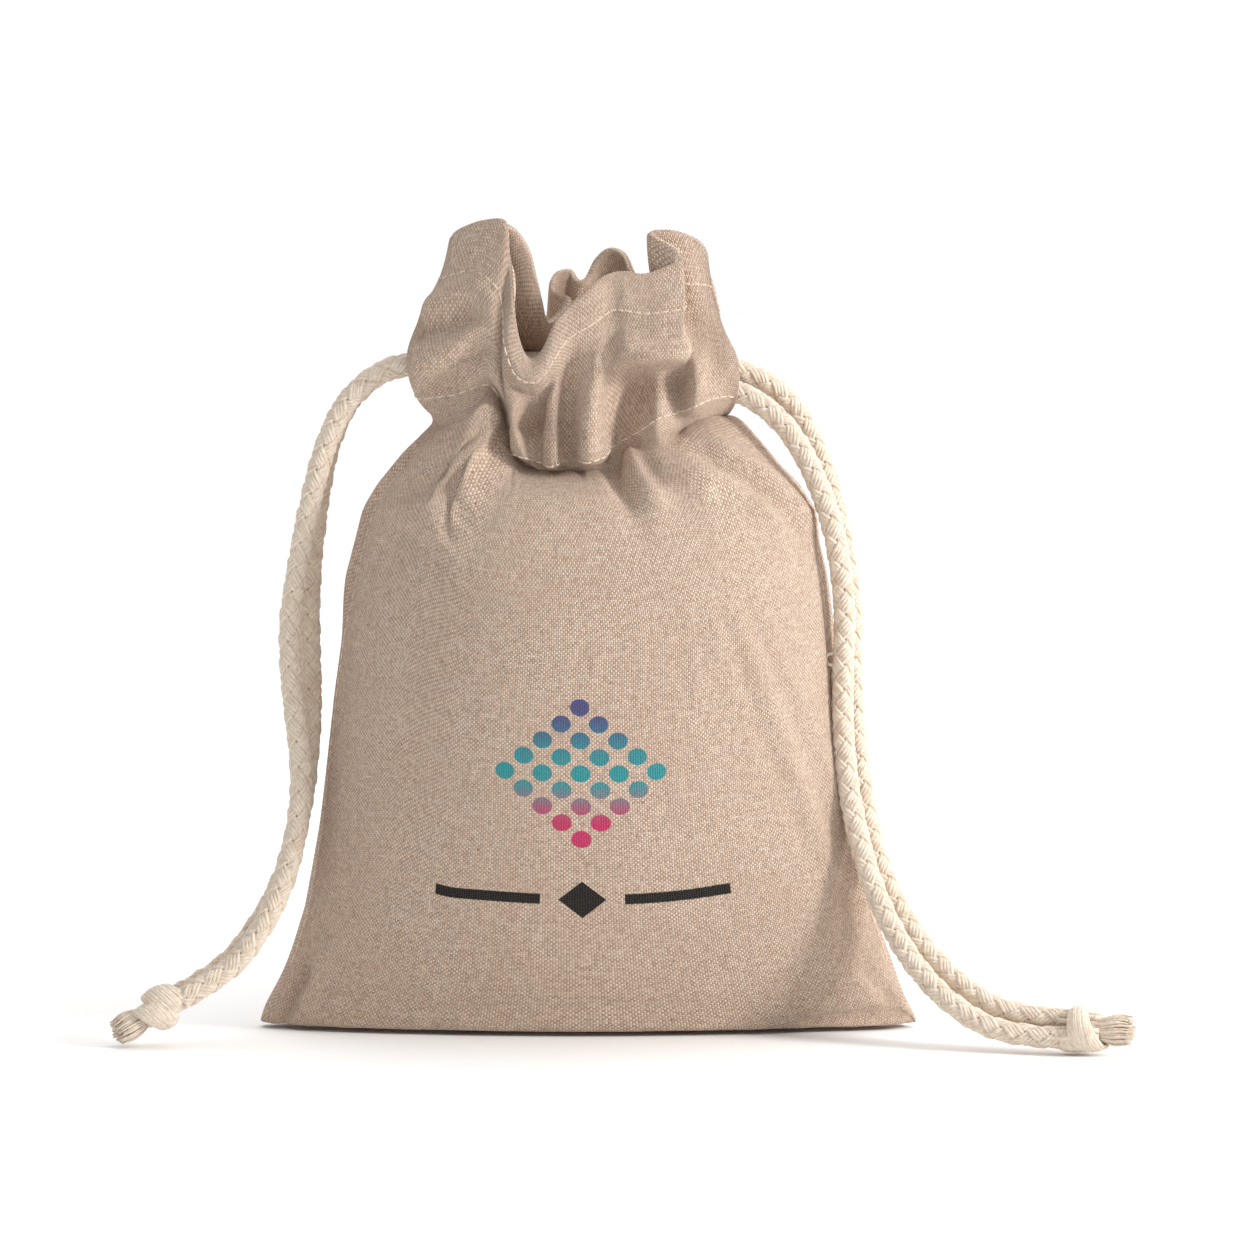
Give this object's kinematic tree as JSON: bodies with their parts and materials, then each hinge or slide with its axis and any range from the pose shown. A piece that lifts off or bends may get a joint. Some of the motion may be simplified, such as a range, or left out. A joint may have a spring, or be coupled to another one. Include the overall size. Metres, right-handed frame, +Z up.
{
  "type": "drawstring gift sack",
  "caption": "Filled cotton gift sack standing on its folded base, with a gathered neck, ruffled header and casing, and knotted drawcords at both sides",
  "frame": {"origin": "middle of the base, on the surface the sack stands on", "axes": "+X right of someone facing the front, -Y out of the front face, +Z up"},
  "size_m": [0.2283, 0.0815, 0.1835],
  "materials": {
    "cloth": "plain-woven unbleached cotton, matt",
    "thread": "spun sewing thread, matt",
    "cord": "braided natural cotton, fuzzy and matt"
  },
  "bodies": {
    "sack": {"front_panel": "cloth", "back_panel": "cloth", "bottom_gusset": "cloth", "front_casing": "cloth", "back_casing": "cloth", "front_header": "cloth", "back_header": "cloth", "left_seam_allowance": "cloth", "right_seam_allowance": "cloth", "left_seam_stitches": "thread", "right_seam_stitches": "thread", "front_header_stitches": "thread", "back_header_stitches": "thread", "front_casing_stitches": "thread", "back_casing_stitches": "thread", "left_cord_turn": "cord", "right_cord_turn": "cord"},
    "left_cord": {"left_cord_front_inner": "cord", "left_cord_back_inner": "cord", "left_cord_front_tail": "cord", "left_cord_back_tail": "cord", "left_knot": "cord", "left_cord_ends": "cord"},
    "right_cord": {"right_cord_front_inner": "cord", "right_cord_back_inner": "cord", "right_cord_front_tail": "cord", "right_cord_back_tail": "cord", "right_knot": "cord", "right_cord_ends": "cord"}
  },
  "joints": [
    {"name": "left_cord_pull", "type": "slide", "parent": "sack", "child": "left_cord", "axis": [-1, 0, 0], "range_m": [0, 0.04]},
    {"name": "right_cord_pull", "type": "slide", "parent": "sack", "child": "right_cord", "axis": [1, 0, 0], "range_m": [0, 0.04]}
  ]
}
